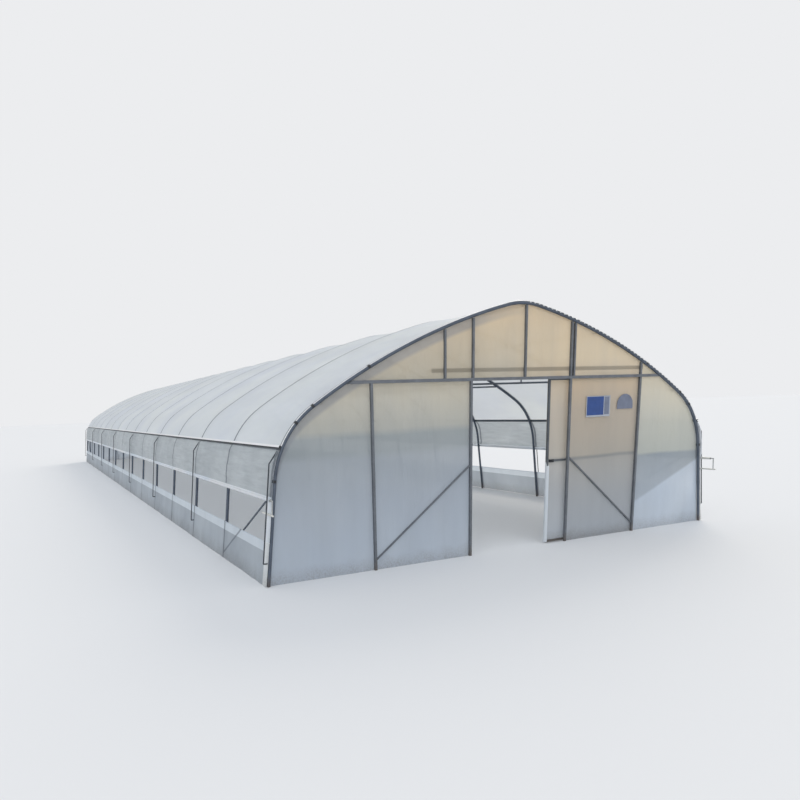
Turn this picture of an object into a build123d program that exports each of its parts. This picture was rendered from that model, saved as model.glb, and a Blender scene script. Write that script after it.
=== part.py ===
"""Polytunnel greenhouse: hooped steel tube frame under film, with roll-up sides and a sliding door.

X runs across the house, Y along it (the front gable is at -Y), Z up from the ground.
The origin is on the ground, at the middle of the whole house. All sizes are in millimetres.
"""

import os
from math import asin, atan2, cos, degrees, pi, radians, sin, sqrt, tan

from build123d import *

# House
LEG_SPAN = 7900.0        # between the two legs of an arch, tube centre to tube centre, at the ground
BAY = 2000.0             # from one arch to the next
BAYS = 14
SEAT = 0.5               # gap between a piece and what it is clipped or clamped to

# Arch: a leaning leg, a tight shoulder, a long crown and a rounded ridge, bent in short even steps
ARCH_TUBE = 48.0
LEG_HEIGHT = 1310.0
LEG_LEAN = 7.0           # degrees from upright
SHOULDER_RADIUS = 1220.0
SHOULDER_SLOPE = 32.8    # degrees, roof slope where the shoulder ends and the crown begins
CROWN_RADIUS = 9500.0
RIDGE_RADIUS = 1200.0
LOWER_BEND_COUNT = 3     # bends from the leg's top to the eave
UPPER_BEND_COUNT = 3     # bends from the eave to the end of the shoulder
CROWN_BEND_COUNT = 4
RIDGE_BEND_COUNT = 2
TUBE_SIDES = 8

# Film
FILM = 5.0

# Side walls
EAVE_RISE = 390.0        # from the top of the leg up to the middle of the eave rail
EAVE_RAIL_WIDTH = 50.0
EAVE_RAIL_DEPTH = 25.0
RAIL_WALL = 3.0
SKIRT_TOP = 550.0
VENT_DROP = 240.0        # from the top of the leg down to the rolled-up curtain
ROLL_TUBE = 33.0
ROLL_OVERHANG = 200.0    # from the front arch to the end of the right roll tube
LEFT_ROLL_OVERHANG = 40.0
END_STRIP = 150.0
GUARD_TUBE = 16.0
GUARD_STANDOFF = 52.0    # clear space between a leg and the guard tube beside it
GUARD_BEND = 170.0       # from the middle of the eave rail down to where the guard turns in to it
GUARD_FOOT = 300.0

# Roll-up crank
CRANK_ROD = 16.0
CRANK_REACH = 45.0       # from the end of the roll tube out to the arm
CRANK_ARM = 180.0
CRANK_NOSE = 30.0        # how far the grip sticks out past the arm
CRANK_GRIP = 400.0

# Purlins, ties and struts
PURLIN_TUBE = 33.0
PURLIN_REACH = 1350.0    # from the ridge line out to the side purlin
TIE_DROP = 1015.0        # from the ridge down to the collar tie
TIE_TUBE = 33.0
STRUT_TUBE = 25.0
QUEEN_STRUT = 1700.0     # upright strut, from the middle of the tie
V_STRUT_FOOT = 60.0
V_STRUT_HEAD = 950.0
BRACE_TUBE = 25.0
WALL_BRACE_FOOT = 90.0
WALL_BRACE_DROP = 70.0   # from the top of the leg down to the brace's head
WIND_BRACE_INSET = 90.0  # from the end of the shoulder in to the brace's foot
WIND_BRACE_HEAD = 1530.0

# Gable frame
POST = 34.0
BEAM_DEPTH = 40.0
LEFT_POST_INSET = 1535.0     # from a leg's foot to the post beside it
RIGHT_POST_INSET = 1605.0
DOORWAY_WIDTH = 1750.0
DOORWAY_SHIFT = 23.0         # from the middle of the gable to the middle of the doorway
UPRIGHT = 28.0
OUTER_UPRIGHT = -1295.0      # uprights over the tie beam, from the middle of the gable
LEFT_UPRIGHT = -840.0
MIDDLE_UPRIGHT = 60.0
DOUBLE_UPRIGHT = 940.0       # to the middle of a pair of uprights
PAIR_SPACING = 62.0
GABLE_BRACE = 20.0
GABLE_BRACE_LOW = 145.0
GABLE_BRACE_RISE = 1150.0
FILM_LAP = 20.0          # how far the gable film laps onto the arch tube

# Sliding door
LEAF_WIDTH = 1800.0
LEAF_LAP = 25.0          # how far the shut leaf reaches past the left side of the doorway
LEAF_TRAVEL = 1420.0     # from shut to where the front leaf stands open
LEAF_FLOOR_GAP = 15.0
LEAF_TUBE = 30.0
LEAF_MID_BAR = 1257.0
LEAF_HEAD_GAP = 105.0    # from the leaf's top to the underside of the rail
RAIL_SECTION = 50.0
RAIL_SLOT = 22.0
RAIL_PAST_SHUT = 620.0
RAIL_PAST_OPEN = 70.0
RAIL_LIFT = 80.0         # rail's underside above the top of the tie beam
ROLLER = 34.0
ROLLER_WIDTH = 34.0
ROLLER_SIDES = 12
HANGER_INSET = 140.0
HANGER_STEM = 10.0
HANGER_WIDTH = 24.0
LATCH_INSET = 78.0       # from the leaf's free edge to the middle of its latch
LATCH_LENGTH = 74.0
LATCH_HEIGHT = 44.0
LATCH_DEPTH = 20.0
LATCH_KNOB = 22.0
LATCH_KNOB_REACH = 16.0

# Worked out from the sizes above
ARCH_R = ARCH_TUBE / 2
LEAN = radians(LEG_LEAN)
SHOULDER_END = radians(90 - SHOULDER_SLOPE)
FOOT_X = LEG_SPAN / 2
KNEE = (FOOT_X - LEG_HEIGHT * tan(LEAN), LEG_HEIGHT)
EAVE_HEIGHT = LEG_HEIGHT + EAVE_RISE
VENT_TOP = LEG_HEIGHT - VENT_DROP
SHOULDER = (KNEE[0] - SHOULDER_RADIUS * cos(LEAN), KNEE[1] - SHOULDER_RADIUS * sin(LEAN))
CROWN = (SHOULDER[0] - (CROWN_RADIUS - SHOULDER_RADIUS) * cos(SHOULDER_END),
         SHOULDER[1] - (CROWN_RADIUS - SHOULDER_RADIUS) * sin(SHOULDER_END))
EAVE_ANGLE = asin((EAVE_HEIGHT - SHOULDER[1]) / SHOULDER_RADIUS)
HALF_LENGTH = BAY * BAYS / 2
STATIONS = [-HALF_LENGTH + BAY * i for i in range(BAYS + 1)]
END_FACE = HALF_LENGTH + ARCH_R
SKIN = ARCH_R + SEAT                  # inner face of a film that lies on the arches
STRIP_OUT = SKIN + FILM
CURTAIN_IN = STRIP_OUT + SEAT
GABLE_SKIN = ARCH_R + SEAT            # depth from the arch's middle to the gable film
GABLE_SKIN_BACK = GABLE_SKIN + FILM
POST_FRONT = ARCH_R - POST            # posts sit flush with the back of the arch tube
RIDGE = (0.0, CROWN[1] + sqrt((CROWN_RADIUS - RIDGE_RADIUS) ** 2 - CROWN[0] ** 2))
CROWN_END = atan2(RIDGE[1] - CROWN[1], -CROWN[0])
RIDGE_HEIGHT = RIDGE[1] + RIDGE_RADIUS
TIE_HEIGHT = RIDGE_HEIGHT - TIE_DROP
BEAM_TOP = TIE_HEIGHT + BEAM_DEPTH / 2
BEAM_UNDER = TIE_HEIGHT - BEAM_DEPTH / 2
LEFT_POST = -FOOT_X + LEFT_POST_INSET
RIGHT_POST = FOOT_X - RIGHT_POST_INSET
DOORWAY = (DOORWAY_SHIFT - DOORWAY_WIDTH / 2, DOORWAY_SHIFT + DOORWAY_WIDTH / 2)
LEFT_JAMB = DOORWAY[0] - POST / 2
RIGHT_JAMB = DOORWAY[1] + POST / 2
LEAF_SHUT = DOORWAY[0] - LEAF_LAP
LEAF_OPEN = LEAF_SHUT + LEAF_TRAVEL
RAIL_FRONT = GABLE_SKIN_BACK + SEAT
RAIL_MIDDLE = RAIL_FRONT + RAIL_SECTION / 2
RAIL_UNDER = BEAM_TOP + RAIL_LIFT
LEAF_TOP = RAIL_UNDER - LEAF_HEAD_GAP
CRANK_FRONT = ROLL_OVERHANG + CRANK_REACH + CRANK_ROD / 2 + CRANK_NOSE


def leg_x(z, offset=0.0):
    """X of a leg's line at a height, moved outwards by an offset square to the leg."""
    return FOOT_X - z * tan(LEAN) + offset / cos(LEAN)


def shoulder_point(angle, offset=0.0):
    radius = SHOULDER_RADIUS + offset
    return (SHOULDER[0] + radius * cos(angle), SHOULDER[1] + radius * sin(angle))


def steps(start, end, count):
    return [start + (end - start) * i / count for i in range(1, count + 1)]


def on_circle(centre, radius, turn):
    return (centre[0] + radius * cos(turn), centre[1] + radius * sin(turn))


SHOULDER_TURNS = (steps(LEAN, EAVE_ANGLE, LOWER_BEND_COUNT)
                  + steps(EAVE_ANGLE, SHOULDER_END, UPPER_BEND_COUNT))
CROWN_TURNS = steps(SHOULDER_END, CROWN_END, CROWN_BEND_COUNT)
RIDGE_TURNS = steps(CROWN_END, pi / 2, RIDGE_BEND_COUNT)
BOW_LINE = ([KNEE] + [shoulder_point(turn) for turn in SHOULDER_TURNS]
            + [on_circle(CROWN, CROWN_RADIUS, turn) for turn in CROWN_TURNS]
            + [on_circle(RIDGE, RIDGE_RADIUS, turn) for turn in RIDGE_TURNS])


def bow_run(x):
    """The straight run of the bow over a place: where it starts, its direction, its outward side."""
    for start, end in zip(BOW_LINE, BOW_LINE[1:]):
        if end[0] <= x + 1e-6:
            break
    length = sqrt((end[0] - start[0]) ** 2 + (end[1] - start[1]) ** 2)
    run = ((end[0] - start[0]) / length, (end[1] - start[1]) / length)
    return start, run, (run[1], -run[0])


def roof_z(x, offset=0.0):
    """Height of a line beside the bow, at a distance from the ridge line."""
    start, run, out = bow_run(x)
    return start[1] + out[1] * offset + (x - start[0] - out[0] * offset) * run[1] / run[0]


def under_bow(x, diameter):
    """Centre of a tube that touches the bow from below, square to it."""
    start, run, out = bow_run(x)
    down = (x - start[0]) / run[0]
    drop = ARCH_R + SEAT + diameter / 2
    return (start[0] + run[0] * down - out[0] * drop, start[1] + run[1] * down - out[1] * drop)


def arc(centre, radius, start, end):
    return CenterArc(centre, radius, degrees(start), degrees(end - start))


def room_corners(gap):
    """Corners of the line at a distance inside one half of an arch, ground to ridge."""
    line = [(leg_x(0), 0)] + BOW_LINE
    corners = [(leg_x(0, -gap), 0)]
    for before, here, after in zip(line, line[1:], line[2:]):
        turn_in = atan2(here[1] - before[1], here[0] - before[0])
        turn_out = atan2(after[1] - here[1], after[0] - here[0])
        middle, reach = (turn_in + turn_out) / 2, gap / cos((turn_out - turn_in) / 2)
        corners.append((here[0] - reach * sin(middle), here[1] + reach * cos(middle)))
    return corners + [(0, roof_z(0, -gap))]


def along(face, y0, y1):
    """Solid from an outline drawn in the cross-section, between two stations along the house."""
    return Plane.XZ.offset(-y1) * extrude(face, y1 - y0)


def polygon(*points):
    return make_face(Polyline(*points, close=True))


def mirrored(shape):
    return mirror(shape, about=Plane.YZ)


def solids(*shapes):
    return [solid for shape in shapes for solid in shape.solids()]


def at_stations(shape, stations):
    return [Pos(0, y, 0) * shape for y in stations]


def save(name, *shapes):
    found = solids(*shapes)
    whole = found[0] if len(found) == 1 else Compound(found)
    export_step(whole, f"parts/{name}.step")
    print(name, len(found), "solids", round(sum(s.volume for s in found) / 1e9, 5), "m3")


def rod(start, end, diameter, sides=TUBE_SIDES):
    """Straight tube of few sides between two points."""
    path = Vector(*end) - Vector(*start)
    across = Vector(0, 1, 0) if abs(path.normalized().Y) < 0.99 else Vector(1, 0, 0)
    section = Plane(origin=start, x_dir=across, z_dir=path)
    turn = 180.0 / sides
    profile = section * RegularPolygon(diameter / 2, sides, major_radius=False, rotation=turn)
    return extrude(profile, path.length, dir=path)


def kept(shape, origin, inward):
    """The part of a shape on one side of a flat cut; inward points to the part kept."""
    return split(shape, bisect_by=Plane(origin=origin, z_dir=inward), keep=Keep.TOP)


# Arches
def leg_solid():
    lower = (leg_x(-ARCH_TUBE), 0, -ARCH_TUBE)
    return kept(rod((KNEE[0], 0, KNEE[1]), lower, ARCH_TUBE), (0, 0, 0), (0, 0, 1))


def bow_solid():
    """Half an arch above the leg: starts square to the leg and ends upright at the ridge."""
    line = [Vector(x, 0, z) for x, z in BOW_LINE]
    below = line[0] - (line[1] - line[0]).normalized() * ARCH_TUBE
    beyond = line[-1] + (line[-1] - line[-2]).normalized() * ARCH_TUBE
    path = Polyline(below, *line[1:-1], beyond)
    section = Plane(origin=below, x_dir=(0, 1, 0), z_dir=line[1] - below)
    turn = 180.0 / TUBE_SIDES
    profile = section * RegularPolygon(ARCH_R, TUBE_SIDES, major_radius=False, rotation=turn)
    tube = sweep(profile, path=path, transition=Transition.RIGHT)
    tube = kept(tube, (KNEE[0], 0, KNEE[1]), (-sin(LEAN), 0, cos(LEAN)))
    return kept(tube, (SEAT / 2, 0, 0), (1, 0, 0))


leg = leg_solid()
bow = bow_solid()


half_room = room_corners(ARCH_R + SEAT)
room_face = polygon(*half_room, *[(-x, z) for x, z in reversed(half_room[:-1])])
room = along(room_face, -HALF_LENGTH, HALF_LENGTH)


# Purlins and eave rails
PURLIN_END = HALF_LENGTH - GABLE_SKIN_BACK - SEAT


def purlin_solid(x, z):
    return along(Pos(x, z) * Circle(PURLIN_TUBE / 2), -PURLIN_END, PURLIN_END)


def ridge_purlin_solid():
    return purlin_solid(0, roof_z(0, -(ARCH_R + SEAT + PURLIN_TUBE / 2)))


def eave_rail_solid():
    """Channel for the film, open outwards, on the shoulder of the arches."""
    width, depth, wall = EAVE_RAIL_WIDTH, EAVE_RAIL_DEPTH, RAIL_WALL
    channel = Rectangle(depth, width) - Pos(wall, 0) * Rectangle(depth, width - 2 * wall)
    out = shoulder_point(EAVE_ANGLE, SKIN + depth / 2)
    return along(Pos(*out) * Rot(0, 0, degrees(EAVE_ANGLE)) * channel, -END_FACE, END_FACE)


# Roof film
RAIL_HALF_ANGLE = atan2(EAVE_RAIL_WIDTH / 2 + SEAT, SHOULDER_RADIUS + SKIN)


def bent_strip(centre, radius, start, end, inner=SKIN, thickness=FILM):
    low, high = radius + inner, radius + inner + thickness
    edges = [arc(centre, low, start, end), arc(centre, high, start, end)]
    edges.append(Line(edges[0] @ 0, edges[1] @ 0))
    edges.append(Line(edges[0] @ 1, edges[1] @ 1))
    return make_face(edges)


def roof_film_solids():
    """The sheet of one roof slope, as four strips that lie edge to edge."""
    middle = (SHOULDER_END + CROWN_END) / 2
    seam, ridge_seam = SEAT / CROWN_RADIUS, SEAT / RIDGE_RADIUS
    strips = [bent_strip(SHOULDER, SHOULDER_RADIUS, EAVE_ANGLE + RAIL_HALF_ANGLE, SHOULDER_END),
              bent_strip(CROWN, CROWN_RADIUS, SHOULDER_END + seam, middle),
              bent_strip(CROWN, CROWN_RADIUS, middle + seam, CROWN_END),
              bent_strip(RIDGE, RIDGE_RADIUS, CROWN_END + ridge_seam, (pi - ridge_seam) / 2)]
    return [along(strip, -END_FACE, END_FACE) for strip in strips]


# Side walls, right-hand side
def wall_slab(z0, z1, inner, thickness, y0, y1):
    face = polygon((leg_x(z0, inner), z0), (leg_x(z0, inner + thickness), z0),
                   (leg_x(z1, inner + thickness), z1), (leg_x(z1, inner), z1))
    return along(face, y0, y1)


def draped_face(z0, inner):
    """Film from a height on the leg, up over the shoulder, to the underside of the eave rail."""
    top = EAVE_ANGLE - RAIL_HALF_ANGLE
    low = arc(SHOULDER, SHOULDER_RADIUS + inner, LEAN, top)
    high = arc(SHOULDER, SHOULDER_RADIUS + inner + FILM, LEAN, top)
    foot_in, foot_out = (leg_x(z0, inner), z0), (leg_x(z0, inner + FILM), z0)
    return make_face([low, high, Line(low @ 1, high @ 1), Line(foot_in, low @ 0),
                      Line(foot_out, high @ 0), Line(foot_in, foot_out)])


ROLL_Z = VENT_TOP + ROLL_TUBE / 2
ROLL_X = leg_x(ROLL_Z, CURTAIN_IN + ROLL_TUBE / 2)
CURTAIN_FOOT = ROLL_Z + sqrt((ROLL_TUBE / 2) ** 2 - (ROLL_TUBE / 2 - FILM) ** 2) + 2 * SEAT


def roll_tube_solid(overhang):
    return along(Pos(ROLL_X, ROLL_Z) * Circle(ROLL_TUBE / 2), -(HALF_LENGTH + overhang),
                 HALF_LENGTH + CRANK_FRONT)


def crank_solid(overhang):
    """Z crank on the front end of the roll tube; its grip hooks behind the front leg."""
    tube_y = -(HALF_LENGTH + overhang)
    arm_y = tube_y - CRANK_REACH
    grip_z = ROLL_Z - CRANK_ARM
    grip_x = leg_x(grip_z, STRIP_OUT + SEAT + CRANK_ROD / 2)
    stub = rod((ROLL_X, tube_y - SEAT, ROLL_Z), (ROLL_X, arm_y - CRANK_ROD / 2, ROLL_Z), CRANK_ROD)
    arm = rod((ROLL_X, arm_y, ROLL_Z), (grip_x, arm_y, grip_z), CRANK_ROD)
    front = arm_y - CRANK_ROD / 2 - CRANK_NOSE
    grip = rod((grip_x, front, grip_z), (grip_x, front + CRANK_GRIP, grip_z), CRANK_ROD)
    return stub + arm + grip


def guard_solid():
    """Bent tube that stands off a leg and keeps the loose curtain from blowing out."""
    line = ARCH_R + GUARD_STANDOFF + GUARD_TUBE / 2
    bend_z = EAVE_HEIGHT - GUARD_BEND
    bend = (leg_x(bend_z, line), 0, bend_z)
    rail = shoulder_point(EAVE_ANGLE, SKIN + EAVE_RAIL_DEPTH - GUARD_TUBE)
    upright = rod((leg_x(GUARD_FOOT, line), 0, GUARD_FOOT), bend, GUARD_TUBE)
    arm = rod((rail[0], 0, rail[1]), bend, GUARD_TUBE)
    foot = rod((leg_x(GUARD_FOOT, SKIN), 0, GUARD_FOOT), (leg_x(GUARD_FOOT, line), 0, GUARD_FOOT),
               GUARD_TUBE)
    out = (cos(EAVE_ANGLE), 0, sin(EAVE_ANGLE))
    face = shoulder_point(EAVE_ANGLE, SKIN + EAVE_RAIL_DEPTH + SEAT)
    arm = kept(arm, (face[0], 0, face[1]), out)
    skirt = (leg_x(0, SKIN + FILM + SEAT), 0, 0)
    foot = kept(foot, skirt, (cos(LEAN), 0, sin(LEAN)))
    return upright + arm + foot


def wall_brace_solid():
    """Tube inside the legs of the first bay, up from the second leg's foot to the first leg."""
    depth = -(ARCH_R + SEAT + BRACE_TUBE / 2)
    start = (leg_x(WALL_BRACE_FOOT, depth), STATIONS[1] + ARCH_R, WALL_BRACE_FOOT)
    head = LEG_HEIGHT - WALL_BRACE_DROP
    end = (leg_x(head, depth), STATIONS[0], head)
    return kept(rod(start, end, BRACE_TUBE), (0, -PURLIN_END, 0), (0, 1, 0))


def wind_brace_solid():
    """Tube under the roof of the first bay, up from the first arch to the second."""
    foot = shoulder_point(SHOULDER_END)[0] - WIND_BRACE_INSET
    low, high = under_bow(foot, BRACE_TUBE), under_bow(WIND_BRACE_HEAD, BRACE_TUBE)
    start = (low[0], STATIONS[0], low[1])
    end = (high[0], STATIONS[1] + ARCH_R, high[1])
    return kept(rod(start, end, BRACE_TUBE) & room, (0, -PURLIN_END, 0), (0, 1, 0))


# Collar tie and struts of an inner arch
def tie_solid():
    return rod((-FOOT_X, 0, TIE_HEIGHT), (FOOT_X, 0, TIE_HEIGHT), TIE_TUBE) & room


def strut_solid(foot_x, head_x):
    strut = rod((foot_x, 0, TIE_HEIGHT), (head_x, 0, roof_z(head_x)), STRUT_TUBE)
    return kept(strut, (0, 0, TIE_HEIGHT + TIE_TUBE / 2 + SEAT), (0, 0, 1)) & room


# Gables
def gable_outline(offset):
    """The shape inside an arch, down to the ground, moved out by an offset."""
    side = [Line((leg_x(0, offset), 0), shoulder_point(LEAN, offset)),
            arc(SHOULDER, SHOULDER_RADIUS + offset, LEAN, SHOULDER_END),
            arc(CROWN, CROWN_RADIUS + offset, SHOULDER_END, CROWN_END),
            arc(RIDGE, RIDGE_RADIUS + offset, CROWN_END, pi / 2)]
    other = [mirror(edge, about=Plane.YZ) for edge in side]
    ground = Line((leg_x(0, offset), 0), (-leg_x(0, offset), 0))
    return make_face(side + other + [ground])


def gable_slab(face, end, depth0, depth1):
    """Slab in a gable, between two depths inward from the middle of the end arch."""
    y = sorted((end * (HALF_LENGTH - depth0), end * (HALF_LENGTH - depth1)))
    return along(face, *y)


def post_face(x, width, z0, z1):
    """Upright piece of the gable frame, cut to the arch where it reaches that far."""
    return Pos(x, (z0 + z1) / 2) * Rectangle(width, z1 - z0) & room_face


def beam_face():
    return Pos(0, TIE_HEIGHT) * Rectangle(LEG_SPAN, BEAM_DEPTH) & room_face


def gable_brace_face(x0, z0, x1, z1):
    half = GABLE_BRACE / 2 * sqrt((x1 - x0) ** 2 + (z1 - z0) ** 2) / abs(x1 - x0)
    return polygon((x0, z0 - half), (x1, z1 - half), (x1, z1 + half), (x0, z0 + half))


def framed(face, end):
    return gable_slab(face, end, POST_FRONT, ARCH_R)


def posts(end):
    places = (LEFT_POST, LEFT_JAMB, RIGHT_JAMB, RIGHT_POST)
    return [framed(post_face(x, POST, 0, BEAM_UNDER - SEAT), end) for x in places]


def uprights(end):
    places = (OUTER_UPRIGHT, LEFT_UPRIGHT, MIDDLE_UPRIGHT, DOUBLE_UPRIGHT - PAIR_SPACING / 2,
              DOUBLE_UPRIGHT + PAIR_SPACING / 2, RIGHT_POST)
    return [framed(post_face(x, UPRIGHT, BEAM_TOP + SEAT, RIDGE_HEIGHT), end) for x in places]


def gable_braces(end):
    left = gable_brace_face(LEFT_POST + POST / 2 + SEAT, GABLE_BRACE_LOW,
                            LEFT_JAMB - POST / 2 - SEAT, GABLE_BRACE_LOW + GABLE_BRACE_RISE)
    right = gable_brace_face(RIGHT_POST - POST / 2 - SEAT, GABLE_BRACE_LOW,
                             RIGHT_JAMB + POST / 2 + SEAT, GABLE_BRACE_LOW + GABLE_BRACE_RISE)
    depth = (ARCH_R + POST_FRONT - GABLE_BRACE) / 2
    return [gable_slab(face, end, depth, depth + GABLE_BRACE) for face in (left, right)]


def gable_film(end):
    """Film on the back of the gable frame: left of the doorway, right of it and over it."""
    whole = gable_outline(-ARCH_R + FILM_LAP)
    tall = 2 * roof_z(0)
    wide = LEG_SPAN
    left = whole & (Pos(DOORWAY[0] - SEAT / 2 - wide / 2, 0) * Rectangle(wide, tall))
    right = whole & (Pos(DOORWAY[1] + SEAT / 2 + wide / 2, 0) * Rectangle(wide, tall))
    over = whole & (Pos((DOORWAY[0] + DOORWAY[1]) / 2, BEAM_UNDER + tall / 2)
                    * Rectangle(DOORWAY[1] - DOORWAY[0] - SEAT, tall))
    return [gable_slab(face, end, GABLE_SKIN, GABLE_SKIN_BACK) for face in (left, right, over)]


# Sliding door
def door_rail(end):
    """Hollow rail with a slot along its underside, on the back of the gable film."""
    inner = RAIL_SECTION - 2 * RAIL_WALL
    section = Rectangle(RAIL_SECTION, RAIL_SECTION) - Rectangle(inner, inner)
    section -= Pos(0, -RAIL_SECTION / 2) * Rectangle(RAIL_SLOT, 3 * RAIL_WALL)
    low, high = LEAF_SHUT - RAIL_PAST_SHUT, LEAF_OPEN + LEAF_WIDTH + RAIL_PAST_OPEN
    place = Plane(origin=(low, end * (HALF_LENGTH - RAIL_MIDDLE),
                          RAIL_UNDER + RAIL_SECTION / 2), x_dir=(0, 1, 0), z_dir=(1, 0, 0))
    return extrude(place * section, high - low, dir=(1, 0, 0))


LEAF_DEPTH = (RAIL_MIDDLE - LEAF_TUBE / 2, RAIL_MIDDLE + LEAF_TUBE / 2)


def leaf_frame(end, left):
    tall = LEAF_TOP - LEAF_FLOOR_GAP
    middle = (left + LEAF_WIDTH / 2, (LEAF_TOP + LEAF_FLOOR_GAP) / 2)
    face = Pos(*middle) * (Rectangle(LEAF_WIDTH, tall)
                           - Rectangle(LEAF_WIDTH - 2 * LEAF_TUBE, tall - 2 * LEAF_TUBE))
    face += Pos(middle[0], LEAF_MID_BAR) * Rectangle(LEAF_WIDTH, LEAF_TUBE)
    return gable_slab(face, end, *LEAF_DEPTH)


def leaf_film(end, left):
    tall = LEAF_TOP - LEAF_FLOOR_GAP
    middle = (left + LEAF_WIDTH / 2, (LEAF_TOP + LEAF_FLOOR_GAP) / 2)
    return gable_slab(Pos(*middle) * Rectangle(LEAF_WIDTH, tall), end,
                      LEAF_DEPTH[1] + SEAT, LEAF_DEPTH[1] + SEAT + FILM)


def hangers(end, left):
    """Roller in the rail, on a stem from the top bar of the leaf."""
    axle = RAIL_UNDER + RAIL_WALL + SEAT + ROLLER / 2
    made = []
    for x in (left + HANGER_INSET, left + LEAF_WIDTH - HANGER_INSET):
        wheel = Pos(x, axle) * RegularPolygon(ROLLER / 2, ROLLER_SIDES, rotation=90)
        roller = gable_slab(wheel, end, RAIL_MIDDLE - ROLLER_WIDTH / 2,
                            RAIL_MIDDLE + ROLLER_WIDTH / 2)
        foot = LEAF_TOP + SEAT
        stem = Pos(x, (foot + axle) / 2) * Rectangle(HANGER_WIDTH, axle - foot)
        made.append(roller + gable_slab(stem, end, RAIL_MIDDLE - HANGER_STEM / 2,
                                        RAIL_MIDDLE + HANGER_STEM / 2))
    return made


def handle(end, left):
    """Latch with a round knob on the outer face of the leaf's middle bar."""
    x, face = left + LATCH_INSET, LEAF_DEPTH[0] - SEAT
    case = gable_slab(Pos(x, LEAF_MID_BAR) * Rectangle(LATCH_LENGTH, LATCH_HEIGHT), end,
                      face - LATCH_DEPTH, face)
    front = HALF_LENGTH - face + LATCH_DEPTH
    return case + rod((x, end * front, LEAF_MID_BAR),
                      (x, end * (front + LATCH_KNOB_REACH), LEAF_MID_BAR), LATCH_KNOB)


os.makedirs("parts", exist_ok=True)

FRONT, REAR = -1, 1
INNER_STATIONS = STATIONS[1:-1]
GUARD_STATIONS = [y for i, y in enumerate(STATIONS) if i % 2 == 0]

right_side = {
    "arch_legs": at_stations(leg, STATIONS),
    "arch_bows": at_stations(bow, STATIONS),
    "purlin": [purlin_solid(*under_bow(PURLIN_REACH, PURLIN_TUBE))],
    "eave_rail": [eave_rail_solid()],
    "roof_film": roof_film_solids(),
    "side_curtain": [along(draped_face(CURTAIN_FOOT, CURTAIN_IN), -END_FACE, END_FACE)],
    "skirt_film": [wall_slab(0, SKIRT_TOP, SKIN, FILM, -END_FACE, END_FACE)],
    "curtain_guards": at_stations(guard_solid(), GUARD_STATIONS),
}
for name, shapes in right_side.items():
    save("right_" + name, *shapes)
    save("left_" + name, *[mirrored(shape) for shape in shapes])

save("right_roll_tube", roll_tube_solid(ROLL_OVERHANG))
save("left_roll_tube", mirrored(roll_tube_solid(LEFT_ROLL_OVERHANG)))
save("right_roll_crank", crank_solid(ROLL_OVERHANG))
save("left_roll_crank", mirrored(crank_solid(LEFT_ROLL_OVERHANG)))

save("ridge_purlin", ridge_purlin_solid())
save("collar_ties", *at_stations(tie_solid(), INNER_STATIONS))
struts = [strut_solid(QUEEN_STRUT, QUEEN_STRUT), strut_solid(V_STRUT_FOOT, V_STRUT_HEAD)]
struts += [mirrored(strut) for strut in struts]
save("truss_struts", *[copy for strut in struts for copy in at_stations(strut, INNER_STATIONS)])

strip = draped_face(SKIRT_TOP + SEAT, SKIN)
strips = [along(strip, -END_FACE, -END_FACE + END_STRIP), along(strip, END_FACE - END_STRIP, END_FACE)]
save("side_end_strips", *strips, *[mirrored(shape) for shape in strips])

braces = [wall_brace_solid(), wind_brace_solid()]
braces += [mirror(brace, about=Plane.XZ) for brace in braces]
save("end_bay_braces", *braces, *[mirrored(brace) for brace in braces])

for prefix, end, left in (("front", FRONT, LEAF_OPEN), ("rear", REAR, LEAF_SHUT)):
    save(prefix + "_tie_beam", framed(beam_face(), end))
    save(prefix + "_gable_posts", *posts(end))
    save(prefix + "_gable_uprights", *uprights(end))
    save(prefix + "_gable_braces", *gable_braces(end))
    save(prefix + "_gable_film", *gable_film(end))
    save(prefix + "_door_rail", door_rail(end))
    save(prefix + "_door_frame", leaf_frame(end, left))
    save(prefix + "_door_film", leaf_film(end, left))
    save(prefix + "_door_hangers", *hangers(end, left))
save("front_door_handle", handle(FRONT, LEAF_OPEN))
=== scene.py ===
"""Looks of the polytunnel greenhouse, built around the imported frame. Metres, Z up."""

from math import asin, atan2, cos, floor, pi, radians, sin, sqrt, tan

import bpy
from mathutils import Matrix, Vector, noise


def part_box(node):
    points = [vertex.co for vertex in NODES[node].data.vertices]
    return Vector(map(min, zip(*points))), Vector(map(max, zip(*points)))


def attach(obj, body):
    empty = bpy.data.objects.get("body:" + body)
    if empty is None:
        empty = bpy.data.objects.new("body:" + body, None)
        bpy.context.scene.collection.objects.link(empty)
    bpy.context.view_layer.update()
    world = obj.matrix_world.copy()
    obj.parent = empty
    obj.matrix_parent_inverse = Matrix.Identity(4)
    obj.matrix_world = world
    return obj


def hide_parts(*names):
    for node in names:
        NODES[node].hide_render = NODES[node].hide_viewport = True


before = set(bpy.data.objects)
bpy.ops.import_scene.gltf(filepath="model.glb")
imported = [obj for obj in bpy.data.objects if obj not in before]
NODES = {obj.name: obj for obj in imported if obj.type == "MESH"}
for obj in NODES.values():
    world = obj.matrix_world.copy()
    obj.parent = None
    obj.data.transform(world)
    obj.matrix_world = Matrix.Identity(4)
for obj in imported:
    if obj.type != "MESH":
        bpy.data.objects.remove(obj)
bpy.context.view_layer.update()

# The arch, as in the part's source
FOOT_X = 3.95
LEG_HEIGHT = 1.31
LEAN = radians(7)
SHOULDER_RADIUS = 1.22
SHOULDER_END = radians(57.2)
CROWN_RADIUS = 9.5
RIDGE_RADIUS = 1.2
ARCH_R = 0.024
BAY = 2.0
BAYS = 14
HALF = BAY * BAYS / 2
END_FACE = HALF + ARCH_R
STATIONS = [-HALF + BAY * i for i in range(BAYS + 1)]
EAVE_HEIGHT = 1.70
SKIRT_TOP = 0.55
END_STRIP = 0.15
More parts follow.
